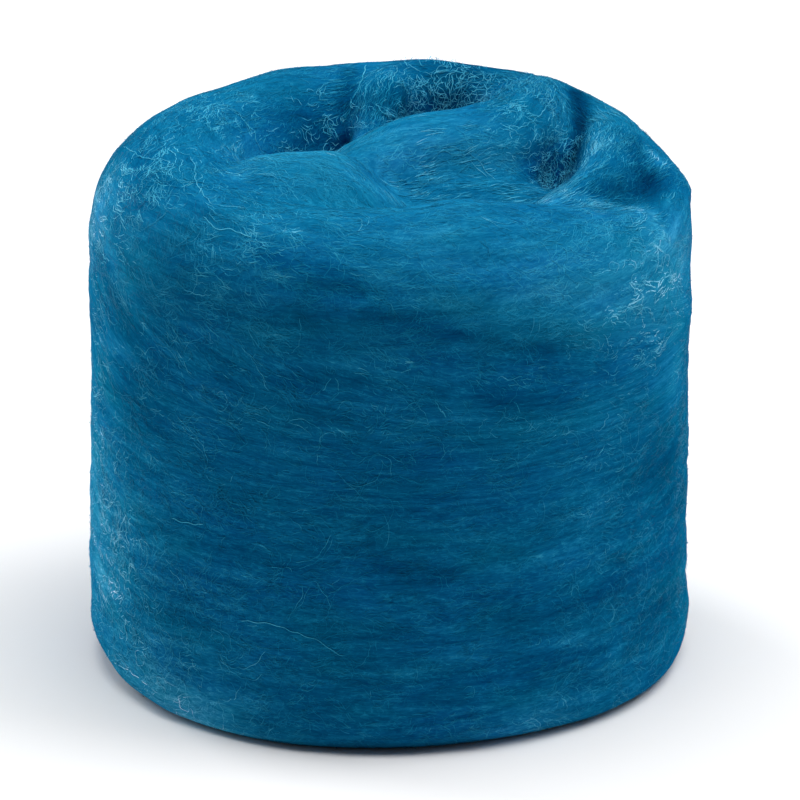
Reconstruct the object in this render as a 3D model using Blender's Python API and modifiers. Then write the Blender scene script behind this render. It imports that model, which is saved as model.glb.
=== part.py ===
# A ball of dyed wool roving: one soft combed length, wound into a drum and folded
# over the top, so that it stands by itself. Metres, +Z up, base centre at the origin.
import math
from collections import namedtuple

import bmesh
import bpy

MM = 0.001
NAME = "roving_ball"

# The wound drum.
DRUM_RADIUS = 62.8 * MM
WALL_TOP = 95.0 * MM  # where the wall turns in to the shoulder
BASE_EDGE = 8.8 * MM  # radius of the rounded lower edge, where it is roundest
DISH_FLOOR = 96.5 * MM  # sunk middle of the top, under the folds
DISH_WALL = 12.0 * MM  # what stands between the dish and the drum's side
EDGE_STEPS = 6
WALL_ROWS = 44
WALL_SIDES = 120

# The lower edge is rounder where the ball leans less on it. A row holds an angle in
# degrees from +X towards +Y, and the edge's radius in millimetres there.
EDGE_ROUNDING = (
    (0, 6.2),
    (90, 6.7),
    (165, 7.4),
    (188, 8.6),
    (210, 6.8),
    (230, 4.4),
    (250, 5.0),
    (270, 7.8),
    (286, 8.8),
    (302, 8.2),
    (318, 6.2),
    (338, 4.8),
    (360, 6.2),
)

# The turns of roving, which show on the wall as soft, almost level ridges.
TURN_PITCH = 12.4 * MM
TURN_RELIEF = 0.6 * MM
TURN_FADE = 9.0 * MM  # height over which the ridges die away under the shoulder
TURN_WANDER = ((2, 0.35), (5, 0.18))  # waves in a round, and their share of a pitch
TURN_WEAR = (3, 0.3)  # waves in a round of the relief, and their share of it

# The last turn comes down over the wall as a band, whose lower edge slants.
BAND_START = -135  # degrees from +X, where its edge leaves the shoulder
BAND_START_HEIGHT = 107.0 * MM
BAND_FALL = 0.258 * MM  # for each degree
BAND_LENGTH = 215  # degrees
BAND_FADE = 90  # degrees over which the edge dies away
BAND_STEP = 0.7 * MM
BAND_SOFTNESS = 0.8 * MM

# The folds are fat soft tubes. Each table has a row for each section of a fold, in
# millimetres: the middle of the section, and half its width across the fold.
Section = namedtuple("Section", "x y z half_width")

# Two turns go right round, one on the shoulder and one sunk inside it. Their rows hold
# an angle in degrees from +X towards +Y and a distance from the axis.
RingSection = namedtuple("RingSection", "angle distance z half_width")
RIM = (
    (0, 57.8, 99.5, 5),
    (15, 55.6, 99.4, 6.6),
    (28, 54.2, 99.6, 7.8),
    (40, 53.6, 100.4, 8.8),
    (52, 53.0, 100.9, 9.6),
    (64, 53.0, 101.0, 9.8),
    (75, 54.4, 101.4, 8.6),
    (86, 53.8, 101.2, 9.2),
    (98, 49.6, 98.8, 12.8),
    (113, 46.8, 96.8, 15.6),
    (130, 45.0, 95.4, 17.2),
    (160, 43.8, 95.4, 18.6),
    (195, 43.8, 95.6, 18.6),
    (232, 44.0, 95.0, 18.2),
    (268, 43.2, 95.2, 19.0),
    (292, 42.6, 95.8, 19.6),
    (312, 45.4, 95.6, 16.8),
    (332, 50.0, 95.6, 12.2),
    (346, 54.8, 97.2, 7.6),
)

SUNK_TURN = (
    (0, 25, 85.5, 11.5),
    (60, 23, 84.5, 12.5),
    (120, 25, 86.0, 12.0),
    (180, 22, 84.0, 13.0),
    (240, 24, 85.0, 12.0),
    (300, 22, 86.0, 12.5),
)

# height: height of a section against its width
FOLDS = {
    "front_lobe": {
        "height": 0.8,
        "rows": (
            (-46, 0, 86, 9),
            (-39, -9, 91.5, 13),
            (-31, -14, 96.6, 16.3),
            (-22, -17, 100.4, 18.2),
            (-14, -19.5, 100.2, 18),
            (-7, -28, 96.2, 16),
            (5, -35, 94.2, 15),
            (20, -37, 92, 13.5),
            (34, -34, 87, 12),
        ),
    },
    "middle_tongue": {
        "height": 1.0,
        "rows": (
            (-16, -10, 95, 9),
            (-8, -1, 100, 10.5),
            (1, 4.5, 102.8, 12.2),
            (11, 8, 103.8, 13),
            (19, 12.5, 104.2, 12),
            (24.5, 22, 104, 10.4),
            (27.5, 34, 103, 9.6),
            (30.5, 45, 101.8, 9),
        ),
    },
    "tongue_root": {
        "height": 0.9,
        "rows": (
            (-9, -14, 94.5, 8),
            (2, -12, 97.4, 10),
            (12, -9.5, 98.6, 10.4),
            (21, -6, 98.4, 9.4),
            (28, -2, 97, 8),
            (33.5, 2, 95.5, 6.5),
        ),
    },
    "right_strap": {
        "height": 1.25,
        "rows": (
            (14, -30, 90, 7),
            (27, -24, 94.8, 8.2),
            (37, -14.5, 98.6, 8),
            (43.4, -2.5, 99.6, 7.8),
            (45.8, 11, 98.2, 8.8),
            (45.6, 23, 96.8, 9.4),
            (44.6, 32, 96.6, 9),
            (42, 40, 97, 7),
        ),
    },
    "back_strand": {
        "height": 0.8,
        "rows": (
            (-0.5, 52, 103, 6.4),
            (-1.5, 43, 106.2, 6.2),
            (-3.2, 30, 104.2, 5.4),
            (-5.4, 15, 102, 4.6),
            (-8.5, 2, 97, 4),
        ),
    },
}

# How the pieces are melted into one soft body.
VOXEL = 1.6 * MM
SOFTEN_PASSES = 8
TRIANGLES = 11400
BASE_CUT = 0.4 * MM  # what the flat base takes off the lowest point
MERGE = 0.01 * MM  # points nearer than this are one

COLOUR = (0.008, 0.125, 0.25, 1.0)
ROUGHNESS = 0.9


def clear_scene():
    for item in list(bpy.data.objects):
        bpy.data.objects.remove(item, do_unlink=True)


def wool():
    """Dyed wool: matt, not metallic."""
    material = bpy.data.materials.new("teal wool")
    material.use_nodes = True
    shader = material.node_tree.nodes["Principled BSDF"]
    shader.inputs["Base Color"].default_value = COLOUR
    shader.inputs["Roughness"].default_value = ROUGHNESS
    shader.inputs["Metallic"].default_value = 0.0
    return material


def recess(angle, height):
    """How far the wall stands in from the drum's radius, at a place on it."""
    stray = sum(share * math.sin(waves * angle) for waves, share in TURN_WANDER)
    turns = height / TURN_PITCH - angle / (2 * math.pi) + stray
    waves, share = TURN_WEAR
    relief = TURN_RELIEF * (1 - share + share * math.sin(waves * angle + height / TURN_PITCH))
    relief *= max(0.0, min(1.0, (WALL_TOP - height) / TURN_FADE))
    groove = relief * (0.5 - 0.5 * math.cos(2 * math.pi * turns))
    past_start = (math.degrees(angle) - BAND_START) % 360
    band_edge = BAND_START_HEIGHT - BAND_FALL * past_start
    below = 1 / (1 + math.exp((height - band_edge) / BAND_SOFTNESS))
    fade = max(0.0, min(1.0, (BAND_LENGTH - past_start) / BAND_FADE))
    return groove + BAND_STEP * below * fade


def edge_share(angle):
    """The lower edge's radius at an angle, as a share of its greatest."""
    degrees = math.degrees(angle) % 360
    for (start, low), (end, high) in zip(EDGE_ROUNDING, EDGE_ROUNDING[1:]):
        if degrees <= end:
            break
    share = (degrees - start) / (end - start)
    share = share * share * (3 - 2 * share)
    return (low + (high - low) * share) * MM / BASE_EDGE


def drum_outline():
    """The drum's profile, as distances from the axis and heights."""
    outline = [(0.0, 0.0)]
    for step in range(EDGE_STEPS):
        angle = (math.pi / 2) * step / EDGE_STEPS
        reach = DRUM_RADIUS - BASE_EDGE + BASE_EDGE * math.sin(angle)
        outline.append((reach, BASE_EDGE - BASE_EDGE * math.cos(angle)))
    for row in range(WALL_ROWS + 1):
        outline.append((DRUM_RADIUS, BASE_EDGE + (WALL_TOP - BASE_EDGE) * row / WALL_ROWS))
    outline.append((DRUM_RADIUS - DISH_WALL, DISH_FLOOR))
    outline.append((0.0, DISH_FLOOR))
    return outline


def drum_mesh():
    """The drum without its folds: a turned profile with its wall ridged by the turns."""
    body = bmesh.new()
    points = [body.verts.new((reach, 0, height)) for reach, height in drum_outline()]
    edges = [body.edges.new(pair) for pair in zip(points, points[1:])]
    bmesh.ops.spin(
        body,
        geom=points + edges,
        axis=(0, 0, 1),
        cent=(0, 0, 0),
        angle=2 * math.pi,
        steps=WALL_SIDES,
        use_merge=True,
    )
    bmesh.ops.remove_doubles(body, verts=body.verts, dist=MERGE)
    for point in body.verts:
        reach = math.hypot(point.co.x, point.co.y)
        angle = math.atan2(point.co.y, point.co.x)
        if point.co.z < BASE_EDGE + MERGE and reach > DRUM_RADIUS - BASE_EDGE - MERGE:
            share = edge_share(angle)
            point.co.z *= share
            scale = (DRUM_RADIUS - (DRUM_RADIUS - reach) * share) / reach
            point.co.x *= scale
            point.co.y *= scale
            reach *= scale
        if reach > DRUM_RADIUS - BASE_EDGE / 2:
            scale = 1 - recess(angle, point.co.z) / reach
            point.co.x *= scale
            point.co.y *= scale
    bmesh.ops.recalc_face_normals(body, faces=body.faces)
    mesh = bpy.data.meshes.new("drum")
    body.to_mesh(mesh)
    body.free()
    return mesh


def section_outline(height):
    """A closed oval, one metre in half-width, that a fold's curve sweeps and scales."""
    curve = bpy.data.curves.new("section", "CURVE")
    curve.dimensions = "2D"
    curve.resolution_u = 6
    spline = curve.splines.new("BEZIER")
    spline.bezier_points.add(3)
    for point, (x, y) in zip(spline.bezier_points, ((1, 0), (0, height), (-1, 0), (0, -height))):
        point.co = (x, y, 0)
        point.handle_left_type = "AUTO"
        point.handle_right_type = "AUTO"
    spline.use_cyclic_u = True
    outline = bpy.data.objects.new("section", curve)
    outline.hide_render = True
    outline.display_type = "WIRE"
    return outline


def fold_mesh(name, sections, height, closed, helpers):
    """One fold as a mesh: an oval swept along a smooth curve through its sections."""
    outline = section_outline(height)
    helpers.objects.link(outline)
    curve = bpy.data.curves.new(name, "CURVE")
    curve.dimensions = "3D"
    curve.twist_mode = "Z_UP"
    curve.resolution_u = 8
    curve.bevel_mode = "OBJECT"
    curve.bevel_object = outline
    curve.use_fill_caps = True
    spline = curve.splines.new("BEZIER")
    spline.bezier_points.add(len(sections) - 1)
    for point, section in zip(spline.bezier_points, sections):
        point.co = (section.x * MM, section.y * MM, section.z * MM)
        point.radius = section.half_width * MM
        point.handle_left_type = "AUTO"
        point.handle_right_type = "AUTO"
    spline.use_cyclic_u = closed
    fold = bpy.data.objects.new(name, curve)
    helpers.objects.link(fold)
    bpy.context.view_layer.update()
    graph = bpy.context.evaluated_depsgraph_get()
    mesh = bpy.data.meshes.new_from_object(fold.evaluated_get(graph))
    bpy.data.objects.remove(fold)
    bpy.data.objects.remove(outline)
    return mesh


def ring_sections(ring):
    sections = []
    for row in map(RingSection._make, ring):
        turn = math.radians(row.angle)
        x, y = row.distance * math.cos(turn), row.distance * math.sin(turn)
        sections.append(Section(x, y, row.z, row.half_width))
    return sections


def join_meshes(meshes):
    """All the closed meshes in one, still overlapping."""
    body = bmesh.new()
    for mesh in meshes:
        body.from_mesh(mesh)
        bpy.data.meshes.remove(mesh)
    bmesh.ops.remove_doubles(body, verts=body.verts, dist=MERGE)
    bmesh.ops.recalc_face_normals(body, faces=body.faces)
    joined = bpy.data.meshes.new(NAME)
    body.to_mesh(joined)
    body.free()
    return joined


def islands(body):
    """The separate surfaces of a bmesh, as lists of vertices."""
    found = []
    seen = set()
    for start in body.verts:
        if start in seen:
            continue
        seen.add(start)
        island = [start]
        for vertex in island:
            for edge in vertex.link_edges:
                other = edge.other_vert(vertex)
                if other not in seen:
                    seen.add(other)
                    island.append(other)
        found.append(island)
    return found


def melt(ball):
    """Melts the overlapping pieces into one soft body and thins its faces."""
    remesh = ball.modifiers.new("melt", "REMESH")
    remesh.mode = "VOXEL"
    remesh.voxel_size = VOXEL
    soften = ball.modifiers.new("soften", "SMOOTH")
    soften.factor = 0.5
    soften.iterations = SOFTEN_PASSES
    graph = bpy.context.evaluated_depsgraph_get()
    dense = bpy.data.meshes.new_from_object(ball.evaluated_get(graph))
    ball.modifiers.clear()
    body = bmesh.new()
    body.from_mesh(dense)
    outer = max(islands(body), key=len)
    keep = set(outer)
    bmesh.ops.delete(body, geom=[v for v in body.verts if v not in keep], context="VERTS")
    body.to_mesh(dense)
    body.free()
    ball.data = dense
    thin = ball.modifiers.new("thin", "DECIMATE")
    thin.ratio = TRIANGLES / (2 * len(dense.polygons))
    graph = bpy.context.evaluated_depsgraph_get()
    return bpy.data.meshes.new_from_object(ball.evaluated_get(graph))


def flatten_base(mesh):
    """Cuts the base flat and puts its middle at the origin."""
    body = bmesh.new()
    body.from_mesh(mesh)
    plane = min(v.co.z for v in body.verts) + BASE_CUT
    cut = bmesh.ops.bisect_plane(
        body,
        geom=body.verts[:] + body.edges[:] + body.faces[:],
        dist=2 * MERGE,
        plane_co=(0, 0, plane),
        plane_no=(0, 0, -1),
        clear_outer=True,
    )
    rim_edges = [item for item in cut["geom_cut"] if isinstance(item, bmesh.types.BMEdge)]
    bmesh.ops.holes_fill(body, edges=rim_edges)
    xs = [v.co.x for v in body.verts]
    ys = [v.co.y for v in body.verts]
    shift = (-(min(xs) + max(xs)) / 2, -(min(ys) + max(ys)) / 2, -plane)
    bmesh.ops.translate(body, verts=body.verts, vec=shift)
    bmesh.ops.triangulate(body, faces=body.faces)
    bmesh.ops.recalc_face_normals(body, faces=body.faces)
    body.to_mesh(mesh)
    body.free()
    mesh.shade_smooth()


def main():
    clear_scene()
    parts = bpy.data.collections.new(NAME)
    helpers = bpy.data.collections.new("helpers")
    bpy.context.scene.collection.children.link(parts)
    bpy.context.scene.collection.children.link(helpers)
    pieces = [drum_mesh()]
    for name, ring in (("rim", RIM), ("sunk_turn", SUNK_TURN)):
        pieces.append(fold_mesh(name, ring_sections(ring), 1.0, True, helpers))
    for name, fold in FOLDS.items():
        sections = [Section(*row) for row in fold["rows"]]
        pieces.append(fold_mesh(name, sections, fold["height"], False, helpers))
    ball = bpy.data.objects.new(NAME, join_meshes(pieces))
    parts.objects.link(ball)
    bpy.context.view_layer.update()
    ball.data = melt(ball)
    ball.modifiers.clear()
    flatten_base(ball.data)
    ball.data.name = NAME
    ball.data.materials.append(wool())


main()
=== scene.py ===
import math

import bmesh
import bpy
import numpy as np
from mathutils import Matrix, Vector, noise
from mathutils.bvhtree import BVHTree


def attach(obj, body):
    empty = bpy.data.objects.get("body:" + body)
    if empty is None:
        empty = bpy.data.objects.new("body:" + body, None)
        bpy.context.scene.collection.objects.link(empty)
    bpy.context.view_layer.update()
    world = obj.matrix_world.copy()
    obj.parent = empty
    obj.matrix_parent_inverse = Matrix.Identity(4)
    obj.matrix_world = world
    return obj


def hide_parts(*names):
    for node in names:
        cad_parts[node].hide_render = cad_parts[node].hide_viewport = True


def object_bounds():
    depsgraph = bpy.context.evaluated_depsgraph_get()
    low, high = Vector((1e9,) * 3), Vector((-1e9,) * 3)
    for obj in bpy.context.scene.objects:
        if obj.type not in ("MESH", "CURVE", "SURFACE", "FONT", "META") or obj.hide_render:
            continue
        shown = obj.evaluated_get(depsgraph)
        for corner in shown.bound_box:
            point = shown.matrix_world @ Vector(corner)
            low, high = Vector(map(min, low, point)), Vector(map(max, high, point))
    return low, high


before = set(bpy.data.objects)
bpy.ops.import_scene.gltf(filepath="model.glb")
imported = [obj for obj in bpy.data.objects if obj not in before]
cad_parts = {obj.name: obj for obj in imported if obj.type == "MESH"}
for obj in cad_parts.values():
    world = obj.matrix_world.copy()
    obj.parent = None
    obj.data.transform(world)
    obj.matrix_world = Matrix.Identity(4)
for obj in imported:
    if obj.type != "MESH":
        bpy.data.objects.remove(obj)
cadLow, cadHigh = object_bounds()
mm = 0.001
print("frame loaded")


def addObject(name, data):
    item = bpy.data.objects.new(name, data)
    bpy.context.scene.collection.objects.link(item)
    return item


def setInputs(node, values):
    for name, value in values.items():
        node.inputs[name].default_value = value


# Camera, floor and lights.
camera = {
    "tilt": 22,  # degrees above the floor
    "distance": 6.0,
    "scale": 4.784,  # pixels for each millimetre at the ball
    "picture": 800,  # pixels
    "baseAt": (390.5, 644),  # pixel of the base's centre
    "sensor": 36,
    "clip": (0.1, 30),
}


def addCamera():
    tilt = math.radians(camera["tilt"])
    up = Vector((0, math.sin(tilt), math.cos(tilt)))
    back = Vector((0, -math.cos(tilt), math.sin(tilt)))
    middle = camera["picture"] / 2
    across = (middle - camera["baseAt"][0]) / camera["scale"] * mm
    rise = (camera["baseAt"][1] - middle) / camera["scale"] * mm
    data = bpy.data.cameras.new("camera")
    data.sensor_width = camera["sensor"]
    data.lens = camera["sensor"] * camera["distance"] / (camera["picture"] / camera["scale"] * mm)
    data.clip_start, data.clip_end = camera["clip"]
    view = addObject("camera", data)
    view.location = Vector((across, 0, 0)) + rise * up + camera["distance"] * back
    view.rotation_euler = (math.pi / 2 - tilt, 0, 0)
    bpy.context.scene.camera = view


studio = {
    "floorSize": 12.0,
    "floor": {"Base Color": (0.9, 0.9, 0.9, 1), "Roughness": 0.9, "Specular IOR Level": 0.1},
    "sky": {"Color": (0.93, 0.96, 1, 1), "Strength": 0.06},
    "aim": (0, 0, 0.06),
    "lights": (  # name, place, width and height, power in watts
        ("overhead", (0, -0.03, 1.56), 1.2, 20),
        ("overheadRight", (0.86, 0, 1.29), 0.9, 12.5),
        ("behindLeft", (-1.06, 0.89, 0.62), 0.8, 13),
        ("left", (-1.43, 0, 0.52), 0.8, 1.5),
        ("right", (1.43, 0, 0.52), 0.8, 1.5),
    ),
}


def addStudio():
    grid = bmesh.new()
    bmesh.ops.create_grid(grid, x_segments=1, y_segments=1, size=studio["floorSize"] / 2)
    mesh = bpy.data.meshes.new("floor")
    grid.to_mesh(mesh)
    grid.free()
    paper = bpy.data.materials.new("pale floor")
    paper.use_nodes = True
    setInputs(paper.node_tree.nodes["Principled BSDF"], studio["floor"])
    mesh.materials.append(paper)
    floor = addObject("floor", mesh)
    world = bpy.data.worlds.new("studio")
    world.use_nodes = True
    setInputs(world.node_tree.nodes["Background"], studio["sky"])
    bpy.context.scene.world = world
    for name, place, size, power in studio["lights"]:
        data = bpy.data.lights.new(name, "AREA")
        data.shape = "RECTANGLE"
        data.size = data.size_y = size
        data.energy = power
        lamp = addObject(name, data)
        lamp.location = place
        lamp.rotation_euler = (Vector(studio["aim"]) - Vector(place)).to_track_quat("-Z", "Y").to_euler()
    bpy.context.scene.view_settings.view_transform = "Standard"


addCamera()
addStudio()
print("camera, floor and lights made")


# The paths that the roving takes, in millimetres. A turn that goes right round has rows
# of angle in degrees from +X, distance from the axis, height and half-width. A fold's
# rows are x, y, z and half-width.
turns = {
    "shoulder": (
        (0, 57.8, 99.5, 5), (15, 55.6, 99.4, 6.6), (28, 54.2, 99.6, 7.8), (40, 53.6, 100.4, 8.8),
        (52, 53, 100.9, 9.6), (64, 53, 101, 9.8), (75, 54.4, 101.4, 8.6),
        (86, 53.8, 101.2, 9.2), (98, 49.6, 98.8, 12.8), (113, 46.8, 96.8, 15.6),
        (130, 45, 95.4, 17.2), (160, 43.8, 95.4, 18.6), (195, 43.8, 95.6, 18.6),
        (232, 44, 95, 18.2), (268, 43.2, 95.2, 19), (292, 42.6, 95.8, 19.6),
        (312, 45.4, 95.6, 16.8), (332, 50, 95.6, 12.2), (346, 54.8, 97.2, 7.6),
    ),
    "sunk": (
        (0, 25, 85.5, 11.5), (60, 23, 84.5, 12.5), (120, 25, 86, 12), (180, 22, 84, 13),
        (240, 24, 85, 12), (300, 22, 86, 12.5),
    ),
}
folds = {
    "frontLobe": (
        (-46, 0, 86, 9), (-39, -9, 91.5, 13), (-31, -14, 96.6, 16.3), (-22, -17, 100.4, 18.2),
        (-14, -19.5, 100.2, 18), (-7, -28, 96.2, 16), (5, -35, 94.2, 15), (20, -37, 92, 13.5),
        (34, -34, 87, 12),
    ),
    "middleTongue": (
        (-16, -10, 95, 9), (-8, -1, 100, 10.5), (1, 4.5, 102.8, 12.2), (11, 8, 103.8, 13),
        (19, 12.5, 104.2, 12), (24.5, 22, 104, 10.4), (27.5, 34, 103, 9.6), (30.5, 45, 101.8, 9),
    ),
    "tongueRoot": (
        (-9, -14, 94.5, 8), (2, -12, 97.4, 10), (12, -9.5, 98.6, 10.4), (21, -6, 98.4, 9.4),
        (28, -2, 97, 8), (33.5, 2, 95.5, 6.5),
    ),
    "rightStrap": (
        (14, -30, 90, 7), (27, -24, 94.8, 8.2), (37, -14.5, 98.6, 8), (43.4, -2.5, 99.6, 7.8),
        (46.2, 11, 98.2, 9.2), (49.4, 23, 96.8, 10.5), (51.6, 32, 96, 10.5), (53, 41, 95, 9),
    ),
    "edgeStrands": (
        (49, -14, 97.5, 6.5), (51.5, -4, 98.2, 8), (54.5, 7, 98, 8), (57.5, 18, 96, 7),
    ),
    "backStrand": (
        (-0.5, 52, 103, 6.4), (-1.5, 43, 106.2, 6.2), (-3.2, 30, 104.2, 5.4), (-5.4, 15, 102, 4.6),
        (-8.5, 2, 97, 4),
    ),
}
spots = {  # x, y, z and reach in millimetres, then how much
    "slant": (  # degrees that the combing turns by
        (-59, -20, 90, 26, -8), (-45, -42, 104, 20, -12), (-25, -56, 102, 20, -12),
        (5, -61, 98, 22, -9), (19, -50, 111, 17, -26), (-52, -8, 111, 14, -16),
        (50, -30, 106, 14, 18), (57, 4, 101, 8, -30), (47, -42, 40, 30, -8), (-47, -42, 36, 30, 10),
    ),
    "swell": (  # millimetres that the folds stand out further
        (-29, -12, 111.5, 6, 1.8), (-19, -11, 113.3, 6, 0.8), (-11.5, -10, 111.5, 5.5, 2.2),
        (-5, -5, 110, 5, 1.6),
    ),
    "tangle": (  # how much more the fibres stray
        (-56, -28, 36, 20, 1.6), (-48, -40, 18, 16, 1.3), (-12, -60, 66, 12, 0.8),
        (-48, -20, 110, 12, 0.3), (50, -38, 22, 14, 0.9), (45, 8, 106, 15, -0.55),
        (-2, 42, 109, 12, -0.5),
    ),
    "wisps": (  # where straight light wisps gather
        (41, -10, 106, 9, 1), (45, 6, 106, 9, 1), (44, 22, 106, 9, 0.8), (24, 24, 113, 9, 0.9),
        (28, 38, 112, 9, 0.8), (-2, 40, 112, 9, 1), (-3, 28, 109, 8, 0.8), (-20, 2, 112, 9, 0.5),
        (0, 16, 111, 8, 0.4), (10, -10, 110, 9, 0.5), (28, -12, 107, 9, 0.5),
        (44, -18, 104, 9, 0.4),
    ),
    # At the left edge, x -56 to -60, these rows also lighten the fibres: a painted sheen.
    "bold": (  # where the fibres stand out more, or less
        (-50, -10, 110, 16, 1), (-36, 20, 108, 14, 0.6), (-29, -43, 111, 16, 0.3),
        (29, 14, 112, 12, 0.75), (44, 5, 107, 12, 0.7), (47, -34, 104, 16, 0.1),
        (-2, 40, 110, 10, 0.6), (15, -48, 111, 14, -0.1), (-60, -12, 75, 16, 0.6),
        (-60, -12, 45, 16, 0.5), (-56, -26, 25, 14, 0.7), (56, -28, 86, 12, 0.6),
        (-44, -44, 84, 26, 0.15), (0, -63, 82, 22, 0.2), (46, -42, 80, 20, 0.35),
        (3, -62, 46, 28, -0.5), (-46, -42, 40, 24, -0.15),
    ),
    "curls": (  # where curls gather in the hollows
        (8, 40, 101, 12, 0.75), (14, 47, 106, 8, 0.6), (33, 13, 99, 8, 0.7),
        (-13, 26, 100, 10, 0.4),
    ),
    # Painted light and shade, in stops: darker in the hollows and creases, lighter or darker elsewhere on
    # the top and wall.
    "paintedShading": (  # stops lighter or darker
        (-15, 28, 100, 12, -0.8), (9, 36, 99, 9, -1), (15, 49, 107, 9, -1.15),
        (-27, -5, 110, 9, 0.4), (22, 12, 113, 8, -0.3), (33, 12, 98, 8, -1.6),
        (38, 30, 101, 5, -0.5), (53, -2, 103, 8, -1.1), (44, -10, 107, 6, -0.35),
        (14, 5, 113, 24, 0.22), (50, -38, 98, 26, 0.2), (-66, -14, 30, 26, 0.6),
        (-50, -36, 3, 13, 0.8), (-34, -50, 1, 10, 0.8), (-20, -58, 0, 7, 0.3),
        (26, -57, 1, 11, 0.8), (10, -50, 110, 22, 0.14), (45, -38, 103, 18, 0.1),
        (-61, -8, 60, 22, 0.3), (-62, -5, 25, 24, 0.3), (60, -20, 90, 20, 0.4),
        (27, -55, 75, 14, -0.3), (27, -57, 16, 12, -0.35), (55, -27, 58, 12, -0.4),
        (0, -62, 32, 38, -0.3), (3, 30, 104, 7, -0.6), (1, 37, 107, 5, -0.5),
        (-4, 34, 109, 7, -0.6), (-9, 30, 104, 5, 0.5), (-8, -57, 105, 9, -0.3),
        (-17, -59, 96, 8, -0.3), (-36, -36, 108, 14, -0.2), (33, -38, 108, 9, -0.25),
        (35, -52, 95, 8, -0.25), (58, -23, 47, 7, -0.3), (58, -23, 19, 9, -0.3),
        (4, -62, 62, 9, -0.25), (-10, -62, 63, 8, -0.2), (21, 24, 113, 9, -0.4),
        (12, -7, 108, 8, -0.2), (44, 19, 108, 7, -0.15), (-54, 8, 109, 12, -0.3),
        (-50, -3, 110, 6, -0.2), (-6, 30, 104, 8, -0.4), (10, 0, 111, 8, 0.25),
        (-50, -30, 101, 9, 0.3), (-50, -37, 61, 9, -0.3), (52, -34, 16, 9, -0.35),
        (-42, -46, 46, 8, -0.25), (-34, -53, 85, 8, -0.25), (-17, -60, 43, 8, -0.25),
        (12, -61, 16, 8, -0.3), (-17, -60, 7, 8, -0.3), (-1, -5, 110, 7, 0.35),
        (-17, -16, 112, 8, 0.3), (33, -50, 102, 9, 0.3), (50, -30, 103, 8, -0.3),
        (49, -12, 106, 7, -0.6), (-8, -62, 35, 8, 0.25), (15, -60, 26, 9, 0.2),
        (42, -47, 38, 8, 0.3), (50, -37, 7, 8, 0.3), (-21, -59, 79, 10, -0.2),
        (-26, 20, 108, 6, -0.25), (-18, 27, 107, 7, -0.45), (-59, -8, 101, 10, 0.8),
        (58, -14, 98, 10, 0.25), (42, -47, 29, 9, -0.25), (8, -60, 96, 10, -0.3),
        (-52, -35, 70, 12, -0.3), (-33, -53, 58, 9, -0.25), (-52, -36, 88, 9, -0.25),
        (3, -62, 44, 14, -0.2), (50, 36, 103, 9, 0.25), (-62, -5, 92, 10, 0.3),
        (-42, -44, 0, 8, 0.6), (33, -53, 1, 8, 0.45), (58, -24, 38, 20, -0.3),
        (60, -20, 66, 10, 0.6),
    ),
}
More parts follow.
